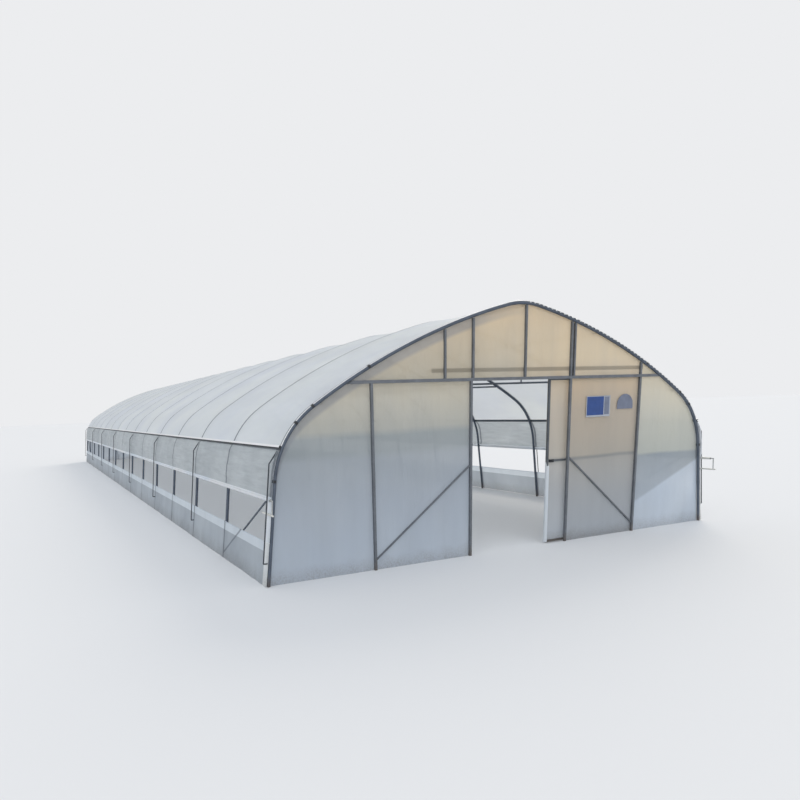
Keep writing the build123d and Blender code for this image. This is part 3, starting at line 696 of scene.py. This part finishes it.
def end_strip(side, end, name):
    rows = []
    for run in spread(SKIRT_RUN + 0.001, EAVE_LOW, 26):
        row = []
        for part in spread(0.0, 1.0, 6):
            out = STRIP_OUT + STRIP_RIPPLE * part * wave(run * 5.0, part * 2.0, seed=side + 3 * end)
            x, z = off_arch(run, out, side)
            row.append((x, end * (END_FACE - END_STRIP * part), z))
        rows.append(row)
    return grid_object(name, rows, STRIP_FILM)


for side, prefix in SIDES:
    for end, place in ENDS:
        made = dress(end_strip(side, end, f"{place}_{prefix}_end_strip"), "house")
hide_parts("side_end_strips")


# Gable films
def outline_z(x, out):
    """Height of the arch's line, moved outwards, at a distance from the middle."""
    low, high = 0.0, ARCH_RUN
    for _ in range(40):
        middle = (low + high) / 2
        if off_arch(middle, out)[0] > abs(x):
            low = middle
        else:
            high = middle
    return off_arch(low, out)[1]


GABLE_OUT = -0.012                     # from the arch's middle line to the sheet's edge
GABLE_WIDE = off_arch(0.013, GABLE_OUT)[0]      # the sheet's lowest corner stays above the ground
GABLE_SPLIT_X = 1.25                   # where the sheet's split line leaves the tie beam
STILES = (-2.415, -0.869, 0.915, 2.345)         # posts and jambs that hold the sheet
EDGE_STEPS = (0.0, 0.006, 0.015, 0.03, 0.05, 0.075, 0.1, 0.125, 0.16, 0.21, 0.27, 0.33)
GABLE_FILM_OUT = 0.027                 # from the end arch's plane inwards


def gable_columns():
    """X of the columns: even, closer near the legs, with the doorway's sides among them."""
    edge = [GABLE_WIDE - step for step in EDGE_STEPS]
    left = spread(-edge[-1], DOORWAY[0], 44)
    middle = spread(*DOORWAY, 28)
    right = spread(DOORWAY[1], edge[-1], 48)
    return [-x for x in edge[:-1]] + left + middle[1:-1] + right + edge[-2::-1]


def gable_sheet(end, name):
    marks = gable_columns()
    low_rows, high_rows = 34, 18
    share = BEAM_UNDER / outline_z(GABLE_SPLIT_X, GABLE_OUT)
    rows = []
    for r in range(low_rows + high_rows + 1):
        row = []
        for x in marks:
            top = outline_z(x, GABLE_OUT)
            split = min(BEAM_UNDER, share * top)
            z = split * r / low_rows if r <= low_rows else (
                split + (top - split) * (r - low_rows) / high_rows)
            near = min(abs(x - stile) for stile in STILES)
            free = min(1.0, near / 0.25) * min(1.0, abs(z - TIE_Z) / 0.3, (top - z) / 0.2 + 0.05)
            free = max(0.0, free)
            fold = 0.010 * abs(wave(x * 4.2, z * 0.35, seed=end * 4.0))
            fold += 0.006 * abs(wave(x * 11.0, z * 0.6, seed=end * 2.0 + 7))
            fold += 0.012 * abs(wave(x * 1.0, z * 0.8, seed=end + 1.5))
            depth = GABLE_FILM_OUT - 0.9 * fold * free
            row.append((x, end * (HALF - depth), z))
        rows.append(row)

    def keep(r, c):
        middle = (marks[c] + marks[c + 1]) / 2
        return not (r < low_rows and DOORWAY[0] < middle < DOORWAY[1])

    made = grid_object(name, rows, GABLE_FILM, keep)
    under = made.data.attributes.new("under_arch", "FLOAT", "POINT")
    for point, vertex in zip(under.data, made.data.vertices):
        point.value = outline_z(vertex.co.x, GABLE_OUT) - vertex.co.z
    return made


def gable_area():
    marks = spread(-GABLE_WIDE, GABLE_WIDE, 400)
    tall = [outline_z(x, GABLE_OUT) for x in marks]
    whole = sum((a + b) / 2 * (marks[1] - marks[0]) for a, b in zip(tall, tall[1:]))
    return whole - (DOORWAY[1] - DOORWAY[0]) * BEAM_UNDER


for end, place in ENDS:
    made = dress(gable_sheet(end, place + "_gable_cover"), "house", (place + "_gable_film",))
    round(gable_area(), 2)


# Sliding leaves
LEAF_INNER, LEAF_OUTER = 0.073, 0.0385          # the frame's faces, inwards from the end arch
WRAP_TOP, WRAP_FADE = 1.18, 0.12       # height of the wrapped part, and of its fading out above
WRAP_ROWS = 20                         # rows of the sheet that show the wrap's paler film
# The wrapped edge: places across the stile, from its free side, and their depth
WRAP = ((0.045, LEAF_OUTER), (0.02, LEAF_OUTER - 0.001), (-0.002, LEAF_OUTER), (-0.004, 0.046),
        (-0.004, 0.064), (-0.002, LEAF_INNER))


def leaf_sheet(end, left, name):
    """Film on the inner side of the leaf, with its free edge wrapped round the low part of the stile."""
    rows = []
    right = left + LEAF[1] - LEAF[0]
    flat_x = -0.001                    # where the edge lies above the wrap
    for z in spread(LEAF_Z[0] + 0.002, LEAF_Z[1], 40):
        wrap = 1.0 if z < WRAP_TOP else max(0.0, 1 - (z - WRAP_TOP) / WRAP_FADE)
        row = []
        for across, depth in WRAP:
            x = left + flat_x + (across - flat_x) * wrap
            row.append((x, end * (HALF - (LEAF_INNER + (depth - LEAF_INNER) * wrap)), z))
        for x in spread(left + 0.01, right, 46):
            free = min(1.0, (x - left) / 0.2, (right - x) / 0.2)
            free *= min(1.0, abs(z - MID_BAR) / 0.2, (z - LEAF_Z[0]) / 0.1, (LEAF_Z[1] - z) / 0.2)
            fold = 0.012 * abs(wave(x * 4.0, z * 0.4, seed=end * 6.0))
            fold += 0.007 * abs(wave(x * 10.0, z * 0.7, seed=end * 2.0))
            row.append((x, end * (HALF - LEAF_INNER - fold * max(free, 0.0)), z))
        rows.append(row)
    made = grid_object(name, rows, DOOR_FILM)
    made.data.materials.append(STRIP_FILM)
    across = len(rows[0]) - 1
    for i, face in enumerate(made.data.polygons):
        if i % across < len(WRAP) and i // across < WRAP_ROWS:
            face.material_index = 1
    return made


LEAVES = ((-1, "front", "front_door", LEAF[0], "door_film"), (1, "rear", "house", REAR_LEAF[0], "film"))
for end, place, body, left, slot in LEAVES:
    made = dress(leaf_sheet(end, left, place + "_leaf_cover"), body, (place + "_door_film",))


# Round arch tubes
FOOT_LIFT = 0.003                      # keeps the leaning tube's lower rim above the ground


def arch_tubes(side, prefix):
    bend = spread(LEG_RUN, LEG_RUN + SHOULDER_RUN, 16)
    crown = spread(bend[-1], LEG_RUN + SHOULDER_RUN + CROWN_RUN, 18)[1:]
    ridge = spread(crown[-1], ARCH_RUN, 6)[1:]
    legs, bows = Tubes(), Tubes()
    for y in STATIONS:
        foot = [(side * (FOOT_X - FOOT_LIFT * sin(LEAN)), y, FOOT_LIFT)]
        foot += [(side * arch(run)[0], y, arch(run)[1]) for run in spread(0.15, LEG_RUN, 4)]
        legs.add(foot, ARCH_R, 16, normal=Vector((0, 1, 0)))
        line = [(side * max(arch(run)[0], 0.0005), y, arch(run)[1]) for run in bend + crown + ridge]
        bows.add(line, ARCH_R, 16, normal=Vector((0, 1, 0)))
    dress(legs.made(prefix + "_leg_tubes", TUBE_STEEL), "house",
          (prefix + "_arch_legs",))
    dress(bows.made(prefix + "_bow_tubes", TUBE_STEEL), "house",
          (prefix + "_arch_bows",))


arch_tubes(-1, "left")
arch_tubes(1, "right")


# Snap clips that hold the covers to the two end arches, and dark clamps at the arch's joints
CLIP_SPACING, CLIP_HALF = 0.08, 0.014
CLAMP_HALF, CLAMP_INNER, CLAMP_REACH = 0.018, 0.029, 2.0
CLAMPS = (LEG_RUN, LEG_RUN + SHOULDER_RUN - 0.3, LEG_RUN + SHOULDER_RUN, ARCH_RUN - 2.6)


def clip(parts, run, side, y, half_length, inner=0.0285, wall=0.0015, reach=1.5, steps=8):
    """Part of a ring round the arch tube, open on the inner side."""
    first = len(parts.verts)
    x, z, angle = arch(run)
    out = Vector((side * cos(angle), 0, sin(angle)))
    along = Vector((-side * sin(angle), 0, cos(angle)))
    centre = Vector((side * x, y, z))
    profile = []
    for radius in (inner, inner + wall):
        turns = spread(-reach, reach, steps)
        if radius > inner:
            turns = turns[::-1]
        profile += [radius * (cos(t) * out + sin(t) * Vector((0, 1, 0))) for t in turns]
    for shift in (-half_length, half_length):
        parts.verts += [centre + along * shift + p for p in profile]
    count = len(profile)
    parts.faces += grid_faces(2, count, first=first, closed=True)
    for k in range(steps):
        a, b = first + k, first + count - 1 - k
        parts.faces.append((a, a + 1, b - 1, b))
        parts.faces.append((a + count, b + count, b - 1 + count, a + 1 + count))


for end, place in ENDS:
    pale, sleeves = Tubes(), Tubes()
    for side in (-1, 1):
        run = EAVE_HIGH + 0.05
        while side * end < 0 and run < ARCH_RUN - 0.03:
            clip(pale, run, side, end * HALF, CLIP_HALF)
            run += CLIP_SPACING
        for run in CLAMPS:
            clip(sleeves, run, side, end * HALF, CLAMP_HALF, CLAMP_INNER, reach=CLAMP_REACH)
    dress(pale.made(place + "_film_clips", CLIP_WHITE), "house")
    dress(sleeves.made(place + "_arch_clamps", CLIP_DARK), "house")


# Plain plates on the front gable
def plate(name, outline, y, thickness, material):
    """Flat plate from an outline in the gable's plane."""
    count = len(outline)
    verts = [(x, y, z) for x, z in outline] + [(x, y + thickness, z) for x, z in outline]
    faces = [tuple(range(count))[::-1], tuple(range(count, 2 * count))]
    faces += [(i, (i + 1) % count, (i + 1) % count + count, i + count) for i in range(count)]
    return mesh_object(name, verts, faces, material, smooth=False)


def rectangle(x0, z0, x1, z1):
    return [(x0, z0), (x1, z0), (x1, z1), (x0, z1)]


PLATE_Y = -HALF + 0.008
PLATE_THICK, FACE_THICK = 0.003, 0.001
PLACARD = rectangle(1.25, 1.87, 1.735, 2.18)
PLACARD_FACE = rectangle(1.262, 1.895, 1.60, 2.17)
PLACARD_STRIP = rectangle(1.615, 1.90, 1.715, 2.165)
ROUND_X, ROUND_Z, ROUND_WIDE, ROUND_TALL, ROUND_FOOT = 2.05, 2.04, 0.165, 0.155, 1.97
BLUE = plastic_material("placard_blue", shade(38, 74, 140), 0.10)
PALE = plastic_material("placard_pale", shade(176, 181, 190), 0.06)
GREY = plastic_material("plate_grey", shade(118, 126, 146), 0.12)
half_round = [(ROUND_X + ROUND_WIDE * cos(t), ROUND_Z + ROUND_TALL * sin(t)) for t in spread(0.0, pi, 20)]
half_round += [(ROUND_X - ROUND_WIDE, ROUND_FOOT), (ROUND_X + ROUND_WIDE, ROUND_FOOT)]
for name, outline, y, thickness, material in (
        ("placard", PLACARD, PLATE_Y, PLATE_THICK, PALE),
        ("placard_face", PLACARD_FACE, PLATE_Y - FACE_THICK, FACE_THICK, BLUE),
        ("placard_strip", PLACARD_STRIP, PLATE_Y - FACE_THICK, FACE_THICK, GREY),
        ("half_round_plate", half_round, PLATE_Y, PLATE_THICK, GREY)):
    dress(plate(name, outline, y, thickness, material), "house")

# Crank grips, and a sleeve on the end of the right roll tube
GRIP_X, GRIP_LENGTH, GRIP_R, GRIP_RIB = 3.877, 0.38, 0.0115, 0.0012
CRANK_R = 0.008
SLEEVE_START, SLEEVE_LENGTH, SLEEVE_R = 0.03, 0.165, 0.0185
for side, prefix in SIDES:
    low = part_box(prefix + "_roll_crank")[0]
    grip = Tubes()
    grip.add([(side * GRIP_X, low.y - 0.001 + GRIP_LENGTH * t, low.z + CRANK_R) for t in spread(0, 1, 12)],
             [GRIP_R + GRIP_RIB * (i % 2) for i in range(13)], 14)
    dress(grip.made(prefix + "_crank_grip", GRIP_WHITE), "house")
sleeve = Tubes()
sleeve.add([(ROLL_X, -HALF - SLEEVE_START - SLEEVE_LENGTH * t, ROLL_Z) for t in spread(0, 1, 4)],
           SLEEVE_R, 14)
dress(sleeve.made("roll_end_sleeve", GRIP_WHITE), "house")

# Floor
FLOOR_REACH, FLOOR_Z = 300, -0.001
ground = Graph("floor_pale")
ground.shader.inputs["Base Color"].default_value = (*shade(226, 227, 229), 1)
ground.shader.inputs["Roughness"].default_value = 0.9
ground.shader.inputs["Specular IOR Level"].default_value = 0.1
corners = [(FLOOR_REACH * x, FLOOR_REACH * y, FLOOR_Z) for x, y in ((-1, -1), (1, -1), (1, 1), (-1, 1))]
mesh_object("floor", corners, [(0, 1, 2, 3)], ground.material, smooth=False)

# World: soft light, and a plain pale background for what the camera, gloss and glass show
scene = bpy.context.scene
scene.view_settings.view_transform = "Standard"
world = bpy.data.worlds.new("studio")
scene.world = world
world.use_nodes = True
nodes, links = world.node_tree.nodes, world.node_tree.links
soft = nodes["Background"]
soft.inputs["Color"].default_value = (0.93, 0.96, 1.0, 1)
soft.inputs["Strength"].default_value = 0.80
seen = nodes.new("ShaderNodeBackground")
seen.inputs["Color"].default_value = (*shade(236, 237, 239), 1)
seen.inputs["Strength"].default_value = 1.0
rays = nodes.new("ShaderNodeLightPath")
either = nodes.new("ShaderNodeMixShader")
shown = rays.outputs["Is Camera Ray"]
for kind in ("Is Glossy Ray", "Is Transmission Ray"):
    most = nodes.new("ShaderNodeMath")
    most.operation = "MAXIMUM"
    links.new(shown, most.inputs[0])
    links.new(rays.outputs[kind], most.inputs[1])
    shown = most.outputs["Value"]
links.new(shown, either.inputs["Fac"])
links.new(soft.outputs["Background"], either.inputs[1])
links.new(seen.outputs["Background"], either.inputs[2])
links.new(either.outputs["Shader"], nodes["World Output"].inputs["Surface"])


def sun(name, azimuth, elevation, strength, colour, spread_angle):
    """Lamp from a side; azimuth from +Y toward +X."""
    lamp = bpy.data.lights.new(name, "SUN")
    lamp.energy, lamp.color, lamp.angle = strength, colour, radians(spread_angle)
    made = bpy.data.objects.new(name, lamp)
    a, e = radians(azimuth), radians(elevation)
    source = Vector((sin(a) * cos(e), cos(a) * cos(e), sin(e)))
    made.rotation_euler = source.to_track_quat("Z", "Y").to_euler()
    scene.collection.objects.link(made)


sun("back_light", 48, 32, 1.1, (1.0, 0.90, 0.76), 30)
sun("front_fill", 215, 50, 0.6, (0.90, 0.95, 1.0), 60)

# Camera: its turn from +Y toward +X, its rise and its tilt, in radians, as fitted to the photograph
YAW, PITCH, ROLL = 0.4202, -0.2153, -0.0409
CAMERA_PLACE = (-6.4309, -21.4896, 2.1597)
forward = Vector((sin(YAW), cos(YAW), 0))
right = Vector((cos(YAW), -sin(YAW), 0))
up = Vector((0, 0, 1))
look = forward * cos(PITCH) + up * sin(PITCH)
lift = up * cos(PITCH) - forward * sin(PITCH)
cam_x = right * cos(ROLL) + lift * sin(ROLL)
cam_y = lift * cos(ROLL) - right * sin(ROLL)
lens = bpy.data.cameras.new("camera")
lens.sensor_width = 36.0
lens.lens = 29.156
lens.shift_x = 0.0875
lens.shift_y = 0.1875
lens.clip_end = 1000
camera = bpy.data.objects.new("camera", lens)
camera.matrix_world = Matrix([
    (cam_x[i], cam_y[i], -look[i], CAMERA_PLACE[i]) for i in range(3)] + [(0, 0, 0, 1)])
scene.collection.objects.link(camera)
scene.camera = camera
